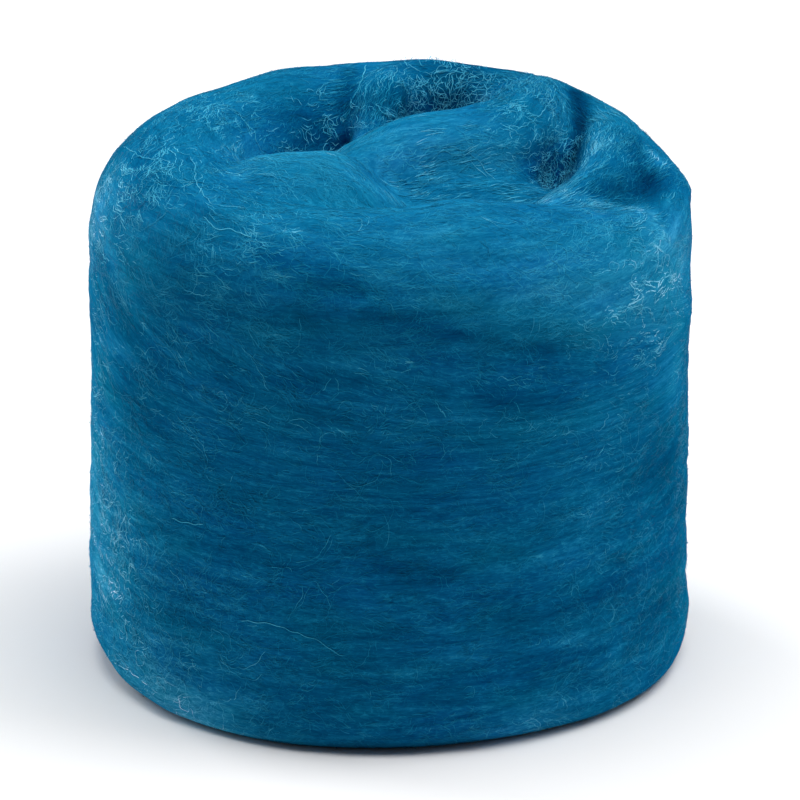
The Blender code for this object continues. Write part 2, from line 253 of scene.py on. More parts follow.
# Painted shade along the creases on top with painted light beside them, and lighter and darker streaks
# along the wall's turns.
streaks = (  # stops lighter or darker, reach in mm, and the points of a line in mm
    (-2, 1.9, ((37.9, 16.8, 102.3), (39, 21, 105), (40, 26.4, 106.1), (39.5, 32, 108),
        (38.8, 37.5, 109.1))),
    (-0.5, 2, ((2.4, -7.3, 107.1), (8.3, -11.4, 107), (14.5, -13.2, 106.5), (22.9, -9.3, 105.6),
        (28.7, 3.6, 102.5))),
    (-0.5, 2.6, ((42, -13.5, 107.6), (45.9, -10.4, 106.3), (50.5, -5, 103.7))),
    (-0.6, 3.2, ((50.5, 16.7, 106.9), (51.3, 9.3, 106.3), (53.2, 1.9, 103.8))),
    (-0.5, 2.2, ((53.2, 1.9, 103.8), (55.5, -12.2, 103.9), (56.8, -17.7, 102.3))),
    (0.8, 1.6, ((54.7, 12.4, 105.2), (56.8, 8.1, 104.7))),
    (0.3, 3, ((-31.5, -18.7, 112.2), (-26, -12, 113), (-18.9, -10.4, 113.3), (-12, -12, 112.5),
        (-8, -20.2, 112.8), (2, -19.2, 106.5))),
    (0.45, 2, ((27, -22, 109), (31.2, -17.5, 106.3), (43.8, -17, 105.5), (54.2, -17, 103.9))),
    (0.35, 2.2, ((35.8, -12.2, 107.7), (39.2, -7.2, 108.4), (41.3, 3.5, 107.7), (42.5, 13.9, 107.6),
        (42.1, 26.3, 107))),
    (-0.7, 2, ((-9.9, 32.7, 104.9), (-9.1, 38.1, 108.4), (-8.5, 45.6, 110.5))),
    (0.2, 2.4, ((-3.9, 27.4, 107.5), (-3.9, 33.8, 109), (-3.4, 39.8, 110.2), (-2.6, 47.8, 110.1))),
    (-0.3, 2, ((-53.4, -4.3, 110.8), (-51.9, -13.2, 110.8), (-49, -21.7, 110.7))),
    (-0.3, 1.8, ((-41.9, 22.9, 112.5), (-38.8, 11.2, 113.2), (-36.9, 3.4, 112.3))),
    (-0.45, 1.7, ((-26.9, -50.2, 107.5), (-18.1, -55.5, 106.1), (-11.6, -57.6, 105.6), (-6, -59.7, 103.7))),
    (-0.55, 1.9, ((-5.1, -61.5, 98.8), (4.1, -62.1, 97.2), (13.3, -61.2, 94.2), (22.3, -58.7, 91.3),
        (33.1, -53.2, 87.1))),
    (-0.15, 2.2, ((14.5, -59.7, 100.3), (27.5, -56.5, 93.6), (39.4, -48.6, 85), (43.8, -44.1, 79.6))),
    (-0.4, 1.6, ((-18.1, -59.3, 84.4), (-6.4, -61.9, 84.1))),
    (-0.4, 1.8, ((18.7, -59.1, 79.8), (26.2, -56.3, 76.6), (35.8, -50.8, 75.3))),
    (-0.5, 2.2, ((17, -59.8, 28.2), (30.2, -54.2, 30.5), (40.7, -46.8, 30.6), (49.2, -37.6, 31))),
    (-0.35, 1.8, ((-2.2, -62.2, 43.4), (12.4, -60.9, 40.9))),
    (-0.25, 2.2, ((-14.3, -60.3, 26.6), (2, -62.2, 25.6), (14.9, -60.5, 25.3))),
    (-0.35, 2.4, ((-57, -26.2, 19.6), (-46.9, -41.5, 24.2), (-38.1, -49, 24.3))),
    (-0.5, 2.2, ((-61.4, -12.6, 93.5), (-58.6, -22.4, 90), (-55.7, -28.7, 85.1), (-51.9, -35.2, 81))),
    (-0.35, 2.2, ((49.2, -38, 51.9), (54.2, -30.2, 51.9), (59.3, -18.2, 50.6))),
    (-0.3, 2.4, ((27.5, -55.8, 16.2), (35.4, -51.1, 16.1), (43.8, -44.1, 16.5))),
    (0.3, 2, ((-17.2, -59.5, 88.1), (-8, -61.5, 88.4), (2, -62.2, 88.7))),
    (0.4, 1.9, ((0.9, -62.1, 18.8), (8.3, -61.6, 21.3), (16.6, -60, 22.9), (30.2, -54.4, 21.8),
        (39.6, -47.9, 21.6))),
    (0.5, 2.4, ((-60.1, -14.1, 99.5), (-58.2, -21.6, 97.6), (-54.9, -30.5, 93.3), (-50.3, -37.7, 87.8))),
    (0.2, 2.2, ((13.3, -60.7, 76.4), (22.9, -57.9, 72.7), (32.3, -53, 70.1), (45.9, -41.8, 67.8))),
    (0.4, 4, ((-50.3, -37.3, 58.4), (-46.5, -41.9, 57.1), (-43.6, -44.4, 54.4))),
    (0.25, 2.4, ((-0.1, -62.2, 50.8), (8.3, -61.7, 49.3), (16.6, -60, 48.6))),
    (0.2, 1.8, ((-39, -29.8, 112.4), (-27.3, -39.9, 112.2), (-11.6, -53.8, 109.4), (1.4, -60, 104),
        (14.5, -59.7, 100.5))),
    (0.3, 2.2, ((34.6, -51, 98.2), (41.7, -45.4, 98.1), (50.1, -34.7, 99.2), (58.8, -18, 99.2))),
    (0.18, 2, ((37.9, -50.2, 91.1), (46.3, -42.6, 92.1), (54.2, -31.8, 92), (61.4, -13.2, 89.2))),
    (0.45, 2.4, ((-61.1, -13.2, 24.3), (-59.1, -20.9, 21.8), (-54.9, -30, 22.9))),
    (0.4, 1.8, ((-60.7, -15, 74.6), (-56.5, -27.2, 77.3), (-51.3, -36.2, 80.4))),
)
band = {  # the last turn's lower edge, with a soft shade under it
    "start": -175,  # degrees from +X
    "height": 117.3,
    "fall": 0.258,  # for each degree
    "early": (8.0, 30),  # further fall near the start, and the degrees it takes
    "level": (70, 30),  # degrees past which the turns above the edge lie level, and over
    "above": (2, 8),  # how far above the edge that starts, and over how much
    "calm": (55, 25),  # height below which the turns lie level, and over how much
    "climb": (195, 130),  # where the turns start to climb again, and for how long
    "shade": -0.25,  # stops
    "reach": 13.0,  # how far down the shade goes
    "edge": 1.2,  # softness of the shade's upper edge
    "begin": 12,  # degrees that the shade takes to begin
    "end": (255, 90),  # degrees where the shade ends, and how many it takes
}
winding = {
    "radius": 62.8,
    "wallTop": 89.0,  # below it, and outside the folds, the fibres just go round
    "wallInside": 40.0,  # the wall is further from the axis than this
    "baseEdge": 3.0,  # below it is the underside
    "baseRadius": 40.0,
    "blend": 12,  # height that the wall's values take to change to the top's
    "turnPieces": 12,  # pieces that each row of a turn is cut into
    "foldPieces": 8,
    "apart": 0.7,  # metres of combing between one path and the next
    "wallApart": 3,  # and how far off the wall's and the base's are
    "baseApart": 5,
    "noiseStep": 7.3,  # how far apart the seeds of the noise are
}
upward = np.array((0, 0, 1.0))


def smoothRows(rows, pieces):
    # A smooth curve through the rows of each array: (..., rows, width) in, more rows out.
    before = np.concatenate([2 * rows[..., :1, :] - rows[..., 1:2, :], rows[..., :-1, :]], -2)
    after = np.concatenate([rows[..., 1:, :], 2 * rows[..., -1:, :] - rows[..., -2:-1, :]], -2)
    slope = (after - before) / 2
    a, b = rows[..., :-1, None, :], rows[..., 1:, None, :]
    da, db = slope[..., :-1, None, :], slope[..., 1:, None, :]
    t = (np.arange(pieces) / pieces)[:, None]
    curve = (
        a * (2 * t**3 - 3 * t**2 + 1)
        + da * (t**3 - 2 * t**2 + t)
        + b * (3 * t**2 - 2 * t**3)
        + db * (t**3 - t**2)
    )
    curve = curve.reshape(*rows.shape[:-2], -1, rows.shape[-1])
    return np.concatenate([curve, rows[..., -1:, :]], -2)


def unit(vectors):
    return vectors / np.maximum(np.linalg.norm(vectors, axis=-1, keepdims=True), 1e-9)


def turnedBy(angles, ways, sides):
    return ways * np.cos(angles)[..., None] + sides * np.sin(angles)[..., None]


def ramp(values, start, over):
    # 0 at the start and 1 at start + over, straight between them and level outside.
    return ((values - start) / over).clip(0, 1)


def pathTable():
    # Every path's points in one table, with the way it runs, its width and length so far.
    tables = []
    for rows in turns.values():
        rows = np.array(rows, float)
        angle = np.radians(rows[:, 0])
        ring = np.column_stack([rows[:, 1] * np.cos(angle), rows[:, 1] * np.sin(angle), rows[:, 2:]])
        ring = np.concatenate([ring[-2:], ring, ring[:3]])  # 2 rows further at each end
        spare = 2 * winding["turnPieces"]
        tables.append(smoothRows(ring, winding["turnPieces"])[spare:-spare])
    for rows in folds.values():
        tables.append(smoothRows(np.array(rows, float), winding["foldPieces"]))
    points, along, half, length = [], [], [], []
    for index, table in enumerate(tables):
        step = np.gradient(table[:, :3], axis=0)
        points.append(table[:, :3] * mm)
        along.append(unit(step))
        half.append(table[:, 3] * mm)
        length.append(np.cumsum(np.linalg.norm(step, axis=1)) * mm + index * winding["apart"])
    return [np.concatenate(item) for item in (points, along, half, length)]


pathPoints, pathAlong, pathHalf, pathLength = pathTable()
pathAcross = unit(np.cross(pathAlong, upward))
pathUp = np.cross(pathAcross, pathAlong)


def nearestRow(places, chunk=2000):
    # The row of the path table that each place belongs to.
    found = np.empty(len(places), int)
    for start in range(0, len(places), chunk):
        gap = places[start : start + chunk, None, :] - pathPoints[None]
        found[start : start + chunk] = np.argmin(np.linalg.norm(gap, axis=2) / pathHalf, axis=1)
    return found


def spotsAt(places, rows):
    # The sum of soft spots at each place.
    total = np.zeros(len(places))
    for x, y, z, reach, amount in rows:
        gap = np.linalg.norm(places - np.array((x, y, z)) * mm, axis=1)
        total += amount * np.exp(-((gap / (reach * mm)) ** 2))
    return total


def bearing(places):
    return np.arctan2(places[:, 1], places[:, 0])


def pastStart(places):
    # Degrees round the ball from the start of the band.
    return (np.degrees(bearing(places)) - band["start"]) % 360


def addStreak(paintedShading, places, amount, reach, rows, pieces=2, far=3):
    # Changes the painted shading round the line through the rows, as far as it shows.
    rows = smoothRows(np.array(rows, float), pieces) * mm
    middle, size = (rows.max(0) + rows.min(0)) / 2, np.ptp(rows, axis=0) / 2
    near = (np.abs(places - middle) < size + far * reach * mm).all(1)
    gap = np.full(near.sum(), 1.0)
    for start, stop in zip(rows[:-1], rows[1:]):
        offset, way = places[near] - start, stop - start
        share = (offset @ way / (way @ way)).clip(0, 1)
        gap = np.minimum(gap, np.linalg.norm(offset - share[:, None] * way, axis=1))
    paintedShading[near] += amount * np.exp(-((gap / (reach * mm)) ** 2))


def paintedShadingAt(places):
    # The painted light and shade of the spots, the lighter and darker streaks, and the painted shade under
    # the band.
    past = pastStart(places)
    below = band["height"] - band["fall"] * past - places[:, 2] / mm
    end, fade = band["end"]
    share = ramp(past, end, -fade) * ramp(past, 0, band["begin"])
    shade = (1 / (1 + np.exp(-below / band["edge"]))) * np.exp(-below.clip(0) / band["reach"])
    paintedShading = spotsAt(places, spots["paintedShading"]) + band["shade"] * share * shade
    for streak in streaks:
        addStreak(paintedShading, places, *streak)
    return paintedShading


def bandFall(places):
    # How far the turns have fallen at each place, and their slope there.
    past = pastStart(places)
    height = places[:, 2] / mm
    above = ramp(height - band["height"] + band["fall"] * past, *band["above"])
    near = ramp(height, *band["calm"]) * (1 - ramp(past, *band["level"]) * above)
    early, over = band["early"]
    fallen = band["fall"] * past + early * (1 - np.exp(-past / over))
    slope = band["fall"] + early / over * np.exp(-past / over)
    start, climb = band["climb"]
    left = 1 - ramp(past, start, climb)
    share = left**2 * (3 - 2 * left)
    slope = slope * share - 6 * left * (1 - left) / climb * fallen
    return fallen * share * near * mm, slope / np.radians(winding["radius"]) * near


def fromWallToTop(places, values):
    # The wall's value low down, the top's above, and a blend between them.
    share = ((places[:, 2] / mm - winding["wallTop"]) / winding["blend"] + 0.5).clip(0, 1)
    return values[0] + share * (values[1] - values[0])


def noiseOf(rows):
    # Smooth noise at each row of x, y and z.
    return np.array([noise.noise(row) for row in rows.tolist()])


def noiseAt(places, size, seed, stretch=(1, 1, 1)):
    # The same, about -1 to 1, in lumps of this size.
    return noiseOf(places / (np.array(stretch) * size) + seed * winding["noiseStep"])


def onWall(places):
    reach = np.hypot(places[:, 0], places[:, 1])
    return (places[:, 2] < winding["wallTop"] * mm) & (reach > winding["wallInside"] * mm)


def onBase(places):
    return places[:, 2] < winding["baseEdge"] * mm


def roundPath(places, rows):
    # The angle of each place round its path.
    offset = places - pathPoints[rows]
    return np.arctan2((offset * pathUp[rows]).sum(1), (offset * pathAcross[rows]).sum(1))


def closeTo(middle, angle):
    # The same angle, less than half a turn from the middle.
    return middle + (angle - middle + np.pi) % (2 * np.pi) - np.pi


def combing(places, rows, reference):
    # Where each place lies along its path and across it, in metres. Every corner of a
    # face is read as its reference, the face's centre, is, so that no face is torn.
    along = pathLength[rows] + ((places - pathPoints[rows]) * pathAlong[rows]).sum(1)
    across = closeTo(roundPath(reference, rows), roundPath(places, rows)) * pathHalf[rows]
    angle = closeTo(bearing(reference), bearing(places))
    wall, base = onWall(reference), onBase(reference)
    along = np.where(wall, angle * winding["radius"] * mm - winding["wallApart"], along)
    across = np.where(wall, places[:, 2] + bandFall(places)[0], across)
    along = np.where(base, angle * winding["baseRadius"] * mm - winding["baseApart"], along)
    across = np.where(base, np.hypot(places[:, 0], places[:, 1]), across)
    return along, across


# The soft body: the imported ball, finer and softer, with the marks of its strands.
woolBody = {
    "weld": 0.01 * mm,
    "voxel": 1.2 * mm,
    "soften": (8, 0.5),  # rounds, and how far each goes
    "creases": (24, 0.6),  # the same again, in the hollows
    "creasesFrom": (0.3, 0.25),  # how hollow these are, and over how much
    "wall": (12, 0.5),  # the same again, round the wall
    "wallFoot": (10, 5),  # the height in mm where that starts, and over how much
    "wallHead": (84, -8),  # and where it ends
    "strandRelief": 0.3 * mm,
    "strandWidth": 2.6 * mm,
    "strandLength": 26 * mm,
    "strandSeed": 3,
    "lumpRelief": 0.45 * mm,
    "lumps": (12 * mm, 2, (1, 1, 0.5)),  # size, seed and stretch
    "foot": (1 * mm, 4 * mm),  # height of the flat foot, and how softly it ends
    "wander": 14,  # degrees that the fibres stray from their path, in patches
    "broadWander": (22 * mm, 5, (1, 1, 0.6)),  # size, seed and stretch of the patches
    "smallWander": (8 * mm, 6),
    "smallShare": 0.8,
    "flow": (14, 0.8),  # rounds and weight of the evening out where paths meet
    "flowTurns": 4,  # how often a face's way is then turned to the rest
    "hollowReach": 22 * mm,
    "hollowRays": 14,
    "hollowWidth": 1.02,  # the rays keep this side of level
    "hollowStart": 0.6,  # mm off the surface
    "hollowSeed": 11,
    "hollowSoften": (3, 0.6),
    "mottle": (1.85, 1.2),  # stops, on the wall and on the top
    "shade": (0.0, 0.05),  # as the fibres' shade, on the wall and on the top
}


def shapeBody():
    body = bmesh.new()
    body.from_mesh(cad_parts["roving_ball"].data)
    bmesh.ops.remove_doubles(body, verts=body.verts, dist=woolBody["weld"])
    mesh = bpy.data.meshes.new("packed")
    body.to_mesh(mesh)
    body.free()
    wool = addObject("wool_body", mesh)
    remesh = wool.modifiers.new("even", "REMESH")
    remesh.mode = "VOXEL"
    remesh.voxel_size = woolBody["voxel"]
    soften = wool.modifiers.new("soften", "SMOOTH")
    soften.iterations, soften.factor = woolBody["soften"]
    bpy.context.view_layer.update()
    graph = bpy.context.evaluated_depsgraph_get()
    wool.data = bpy.data.meshes.new_from_object(wool.evaluated_get(graph))
    bpy.data.meshes.remove(mesh)
    wool.modifiers.clear()
    wool.data.name = "wool_body"
    wool.data.materials.clear()
    return wool


def readNumbers(items, name, width=1, kind=float):
    # A value of each item, in rows of this width.
    values = np.empty(len(items) * width, kind)
    items.foreach_get(name, values)
    return values.reshape(-1, width) if width > 1 else values


def faceNumbers(mesh):
    # The centres and normals of the faces.
    return readNumbers(mesh.polygons, "center", 3), readNumbers(mesh.polygons, "normal", 3)


def vertexNumbers(mesh):
    return readNumbers(mesh.vertices, "co", 3), readNumbers(mesh.vertices, "normal", 3)


def cornerNumbers(mesh):
    # Each corner's vertex and its face.
    totals = readNumbers(mesh.polygons, "loop_total", kind=int)
    return readNumbers(mesh.loops, "vertex_index", kind=int), np.repeat(np.arange(len(totals)), totals)


def skinOf(mesh):
    # The mesh's faces, to cast rays at and to find the nearest place on.
    places, _ = vertexNumbers(mesh)
    return BVHTree.FromPolygons(places.tolist(), [tuple(face.vertices) for face in mesh.polygons])


def meanOf(groups, values):
    # The mean of the rows in each group.
    count = np.bincount(groups)[:, None]
    return np.column_stack([np.bincount(groups, column) for column in values.T]) / count


def neighbourMean(mesh, values, rounds, weight):
    # Pulls the values at the vertices towards those of their neighbours.
    edges = readNumbers(mesh.edges, "vertices", 2, int)
    here = np.concatenate([edges[:, 0], edges[:, 1]])
    there = np.concatenate([edges[:, 1], edges[:, 0]])
    count = np.bincount(here, minlength=len(values))
    for _ in range(rounds):
        for axis in range(values.shape[1]):
            near = np.bincount(here, values[there, axis], minlength=len(values)) / count
            values[:, axis] += weight * (near - values[:, axis])
    return values


def moveVertices(mesh, places):
    mesh.vertices.foreach_set("co", places.ravel())
    mesh.update()


def hollowOfVertices(mesh):
    # The share of the view from each vertex that the ball itself fills.
    places, normals = vertexNumbers(mesh)
    skin = skinOf(mesh)
    rng = np.random.default_rng(woolBody["hollowSeed"])
    rays = unit(rng.normal(size=(woolBody["hollowRays"], 3)))
    starts = (places + normals * woolBody["hollowStart"] * mm).tolist()
    hits = np.zeros(len(places))
    for ray in rays:
        ways = unit(normals * woolBody["hollowWidth"] + ray).tolist()
        for index, (start, way) in enumerate(zip(starts, ways)):
            if skin.ray_cast(start, way, woolBody["hollowReach"])[0] is not None:
                hits[index] += 1
    hits = (hits / woolBody["hollowRays"])[:, None]
    return neighbourMean(mesh, hits, *woolBody["hollowSoften"])[:, 0]


def softenCreases(mesh, hollow):
    # Smooths the hollows and the wall once more.
    places, _ = vertexNumbers(mesh)
    rounds, weight = woolBody["creases"]
    weight = weight * ramp(hollow, *woolBody["creasesFrom"])
    places = neighbourMean(mesh, places, rounds, weight)
    rounds, weight = woolBody["wall"]
    height = places[:, 2] / mm
    weight = weight * ramp(height, *woolBody["wallFoot"]) * ramp(height, *woolBody["wallHead"])
    moveVertices(mesh, neighbourMean(mesh, places, rounds, weight))


def relieve(mesh):
    # Raises the strands and lumps, and keeps the underside flat.
    places, normals = vertexNumbers(mesh)
    along, across = combing(places, nearestRow(places), places)
    along, across = along / woolBody["strandLength"], across / woolBody["strandWidth"]
    strands = np.column_stack([along, across, np.full(len(places), woolBody["strandSeed"])])
    height = woolBody["strandRelief"] * noiseOf(strands)
    height += woolBody["lumpRelief"] * noiseAt(places, *woolBody["lumps"])
    height += spotsAt(places, spots["swell"]) * mm
    height *= ramp(places[:, 2], *woolBody["foot"])
    moveVertices(mesh, places + normals * height[:, None])


def alongSurface(ways, normals):
    return unit(ways - normals * (ways * normals).sum(1)[:, None])


def flowOfFaces(mesh, rows):
    # The way that the fibres run at each face, evened out where paths meet.
    centres, normals = faceNumbers(mesh)
    level = unit(np.cross(upward, centres)) - bandFall(centres)[1][:, None] * upward
    level, flow = alongSurface(level, normals), alongSurface(pathAlong[rows], normals)
    flow = np.where((onWall(centres) | onBase(centres))[:, None], level, flow)
    corners, face = cornerNumbers(mesh)
    spread = (flow[:, :, None] * flow[:, None, :]).reshape(-1, 9)[face]
    spread = neighbourMean(mesh, meanOf(corners, spread), *woolBody["flow"])
    spread = meanOf(face, spread[corners]).reshape(-1, 3, 3)
    for _ in range(woolBody["flowTurns"]):
        flow = alongSurface(unit(np.einsum("nij,nj->ni", spread, flow)), normals)
    stray = noiseAt(centres, *woolBody["broadWander"])
    stray = stray + woolBody["smallShare"] * noiseAt(centres, *woolBody["smallWander"])
    stray = woolBody["wander"] * stray * (1 + spotsAt(centres, spots["tangle"]))
    stray = np.radians(stray + spotsAt(centres, spots["slant"]))
    return turnedBy(stray, flow, np.cross(normals, flow))


def writeUv(mesh, along, across):
    # The combing as a UV map, in centimetres.
    layer = mesh.uv_layers.new(name="combing")
    layer.uv.foreach_set("vector", np.column_stack([along, across]).ravel() * 100)


def writeValues(mesh, name, values):
    mesh.attributes.new(name, "FLOAT", "POINT").data.foreach_set("value", values)


def addFinish(mesh, places, hollow, paintedShading, shade):
    # The values that the materials read at each point.
    # The hollow sets the painted hollow shade, and the painted shading holds painted light and shade in
    # stops.
    writeValues(mesh, "hollow", hollow)
    writeValues(mesh, "paintedShading", paintedShading)
    writeValues(mesh, "shade", shade)
    writeValues(mesh, "mottle", fromWallToTop(places, woolBody["mottle"]))
    mesh.shade_smooth()


wool = shapeBody()
surface = wool.data
hollow = hollowOfVertices(surface)
softenCreases(surface, hollow)
relieve(surface)
centres, faceNormals = faceNumbers(surface)
areas = readNumbers(surface.polygons, "area")
faceRows = nearestRow(centres)
flow = flowOfFaces(surface, faceRows)
places, _ = vertexNumbers(surface)
corners, face = cornerNumbers(surface)
writeUv(surface, *combing(places[corners], faceRows[face], centres[face]))
addFinish(surface, places, hollow, paintedShadingAt(places), fromWallToTop(places, woolBody["shade"]))
skin = skinOf(surface)
faceHollow = meanOf(face, hollow[corners][:, None])[:, 0]
faceTangle = spotsAt(centres, spots["tangle"])
onTop = ~onWall(centres) & ~onBase(centres)
print("body shaped:", len(centres), "faces")


# Fibres are flat ribbons that follow the combing, crimped as wool is. Each sort says where
# they lie, how many there are and how many make a lock, the steps of their walk and the
# parts that each step is cut into, how much they gather in patches, how far they spread
# off the combing and turn at each step in degrees, and the ranges of their shade and of
# their sizes in mm. Sunk is how much of the painted hollow shade, and of the painted light
# and shade, they take.
fibreSorts = {
    "wall_matting": {
        "where": "wall", "count": 10500, "lock": 1, "steps": 2, "patches": 0.6, "shade": (-0.25, 0.4),
        "spread": 16, "wriggle": 12, "lift": (-0.05, 0.04), "bob": (0.02, 0.07), "loop": 0,
        "length": (1.6, 5), "width": (0.13, 0.22), "crimp": (0.04, 0.12), "crimpLength": (1.4, 3.0),
    },
    "top_matting": {
        "where": "top", "count": 10500, "lock": 1, "steps": 2, "patches": 0.6, "shade": (-0.15, 0.3),
        "spread": 30, "wriggle": 14, "lift": (-0.01, 0.05), "bob": (0.01, 0.03), "loop": 0,
        "length": (1.8, 6), "width": (0.13, 0.22), "crimp": (0.04, 0.14), "crimpLength": (1.4, 3.0),
    },
    "wall_fibres": {
        "where": "wall", "count": 8800, "lock": 3, "steps": 3, "patches": 2.4, "shade": (0.05, 0.6),
        "spread": 30, "wriggle": 26, "lift": (0.0, 0.1), "bob": (0.05, 0.15), "loop": 0.3,
        "length": (2.2, 9.0), "width": (0.11, 0.18), "crimp": (0.06, 0.2), "crimpLength": (1.3, 2.8),
    },
    "top_fibres": {
        "where": "top", "count": 11000, "lock": 4, "steps": 3, "patches": 1.8, "shade": (0.2, 1.12),
        "spread": 36, "wriggle": 22, "lift": (0.0, 0.07), "bob": (0.01, 0.05), "loop": 0.4,
        "length": (2.0, 8.0), "width": (0.11, 0.19), "crimp": (0.06, 0.18), "crimpLength": (1.3, 2.8),
    },
    "wisps": {
        "where": "wisps", "count": 3000, "lock": 3, "steps": 3, "patches": 1.5, "shade": (0.2, 0.95),
        "spread": 12, "wriggle": 6, "lift": (0.0, 0.35), "bob": (0.02, 0.08), "loop": 0.1,
        "length": (2, 6), "width": (0.07, 0.12), "crimp": (0.04, 0.16), "crimpLength": (2.0, 4.5),
    },
    "hollow_fibres": {
        "where": "hollows", "count": 2500, "lock": 3, "steps": 5, "patches": 0.6, "shade": (0.65, 1.1),
        "spread": 70, "wriggle": 36, "lift": (0.1, 0.9), "bob": (0.2, 0.5), "loop": 0.7, "sunk": 0.12,
        "length": (1.6, 5.5), "width": (0.07, 0.11), "crimp": (0.1, 0.3), "crimpLength": (2.0, 4.0),
    },
    "wall_tangles": {
        "where": "wall", "count": 1600, "lock": 1, "steps": 6, "patches": 2.4, "shade": (0.15, 0.7),
        "spread": 55, "wriggle": 40, "lift": (0.0, 0.2), "bob": (0.1, 0.25), "loop": 0.4,
        "length": (4, 12), "width": (0.07, 0.11), "crimp": (0.08, 0.25), "crimpLength": (1.5, 3.2),
    },
    "long_fibres": {
        "where": "all", "count": 480, "lock": 2, "steps": 8, "patches": 1.0, "shade": (0.25, 0.75),
        "spread": 26, "wriggle": 18, "lift": (0.0, 0.25), "bob": (0.03, 0.12), "loop": 0.2, "parts": 4,
        "length": (6, 16), "width": (0.08, 0.12), "crimp": (0.05, 0.18), "crimpLength": (1.8, 3.8),
    },
    "top_tangles": {
        "where": "top", "count": 900, "lock": 1, "steps": 5, "patches": 1.6, "shade": (0.35, 1.0),
        "spread": 55, "wriggle": 40, "lift": (0.0, 0.15), "bob": (0.03, 0.1), "loop": 0.4,
        "length": (3, 9), "width": (0.08, 0.13), "crimp": (0.08, 0.25), "crimpLength": (1.5, 3.2),
    },
}
fibreShape = {
    "seed": 3,  # of the first sort
    "own": 0.3,  # the share of its numbers that a fibre in a lock has to itself
    "range": 1.8,  # how many spreads and wriggles a fibre may go to
    "apart": (0.4, 0.7),  # how far from the face's centre one starts: alone, in a lock
    "keep": 0.93,  # how much of its stray a fibre keeps at each step
    "jitter": 0.4,  # how unevenly it turns
    "bunches": (12 * mm, (1, 1, 0.55)),  # size and stretch of the places where more lie
    "smallBunches": (5 * mm, 0.6, 20),  # size, share and further seed
    "curlsFrom": (0.35, 0.3),  # how hollow a place with curls is, and over how much
    "wisps": (1.2, 2),  # how thick they lie, and how much less in the hollows
    "tangled": 0.5,  # how many more lie in the tangled places
    "fewest": 0.04,
    "under": 0.3,  # the share of the fibres that the underside has
    "parts": 3,  # that each step is cut into, where a sort doesn't say
    "phases": 7,  # range of where the crimp starts
    "pace": (0.8, 0.31),  # how much the crimp's pace changes, and how slowly
    "second": (0.6, 0.43),  # a slower crimp under it, and how slow
    "bobPace": 0.71,
    "taper": 0.9 * mm,  # the ends narrow and dip over this
    "dip": 0.15 * mm,
    "blunt": 0.15,  # the share of the width that the ends keep
    "twist": (0.1, 9, 3),  # how far a ribbon turns, how often, and how unlike the next
    "wave": (0.12, 7),  # change of shade along a fibre
    "boldness": {"top": 0.42, "wall": 1},  # share of their shade that the fibres show
}


def thickness(where):
    # How thickly the fibres of this place start at each face.
    if where == "hollows":
        curls = ramp(faceHollow, *fibreShape["curlsFrom"]) + spotsAt(centres, spots["curls"])
        return curls * onTop
    if where == "wisps":
        most, less = fibreShape["wisps"]
        return spotsAt(centres, spots["wisps"]) * onTop * (most - less * faceHollow).clip(0)
    return {"all": 1, "wall": ~onTop, "top": onTop}[where]


def shared(sort, rng, low, high, count):
    # Random numbers that the fibres of a lock nearly share.
    own = fibreShape["own"] if sort["lock"] > 1 else 0
    common = np.repeat(rng.uniform(size=-(-count // sort["lock"])), sort["lock"])[:count]
    return low + (high - low) * (common * (1 - own) + own * rng.uniform(size=count))


def settle(points):
    # Puts the points on the surface, and says on which face each one lies.
    landed, faces = np.empty_like(points), np.empty(len(points), int)
    for index, point in enumerate(points.tolist()):
        landed[index], _, faces[index], _ = skin.find_nearest(point)
    return landed, faces


def chooseFaces(sort, seed, rng):
    # The face that each fibre starts from. Those of a lock start from the same one.
    size, stretch = fibreShape["bunches"]
    bunches = noiseAt(centres, size, seed, stretch)
    size, share, further = fibreShape["smallBunches"]
    bunches = bunches + share * noiseAt(centres, size, seed + further)
    weight = 1 + sort["patches"] * bunches + fibreShape["tangled"] * faceTangle
    weight = areas * weight.clip(fibreShape["fewest"]) * thickness(sort["where"])
    weight[onBase(centres)] *= fibreShape["under"]
    starts = rng.choice(len(weight), -(-sort["count"] // sort["lock"]), p=weight / weight.sum())
    return np.repeat(starts, sort["lock"])[: sort["count"]]


def traceFibres(sort, seed, rng):
    # Walks each fibre over the surface, from face to face, along the combing.
    steps, count = sort["steps"], sort["count"]
    chosen = faces = chooseFaces(sort, seed, rng)
    apart = woolBody["voxel"] * fibreShape["apart"][sort["lock"] > 1]
    points = centres[faces] + rng.normal(size=(count, 3)) * apart
    length = shared(sort, rng, *sort["length"], count) * mm
    loose, most = 1 + faceTangle[faces], fibreShape["range"]
    stray = np.radians(sort["spread"]) * shared(sort, rng, -most, most, count) * loose
    bend = np.radians(sort["wriggle"]) * shared(sort, rng, -most, most, count) * loose
    heading = np.zeros((count, 3))
    track, normals = [], []
    for _ in range(steps + 1):
        points, faces = settle(points)
        normal, way = faceNormals[faces], flow[faces]
        track.append(points)
        normals.append(normal)
        backwards = (way * heading).sum(1) < 0
        heading = np.where(backwards[:, None], -way, way)
        ahead = turnedBy(stray, heading, np.cross(normal, heading))
        points = points + ahead * (length / steps)[:, None]
        stray = stray * fibreShape["keep"]
        stray = stray + bend * (1 + fibreShape["jitter"] * rng.normal(size=count))
    return np.stack(track, 1), unit(np.stack(normals, 1)), length, chosen


def alongAndSide(track, normals):
    # The way along each track, and the way to its side.
    along = unit(np.gradient(track, axis=1))
    return along, unit(np.cross(normals, along))


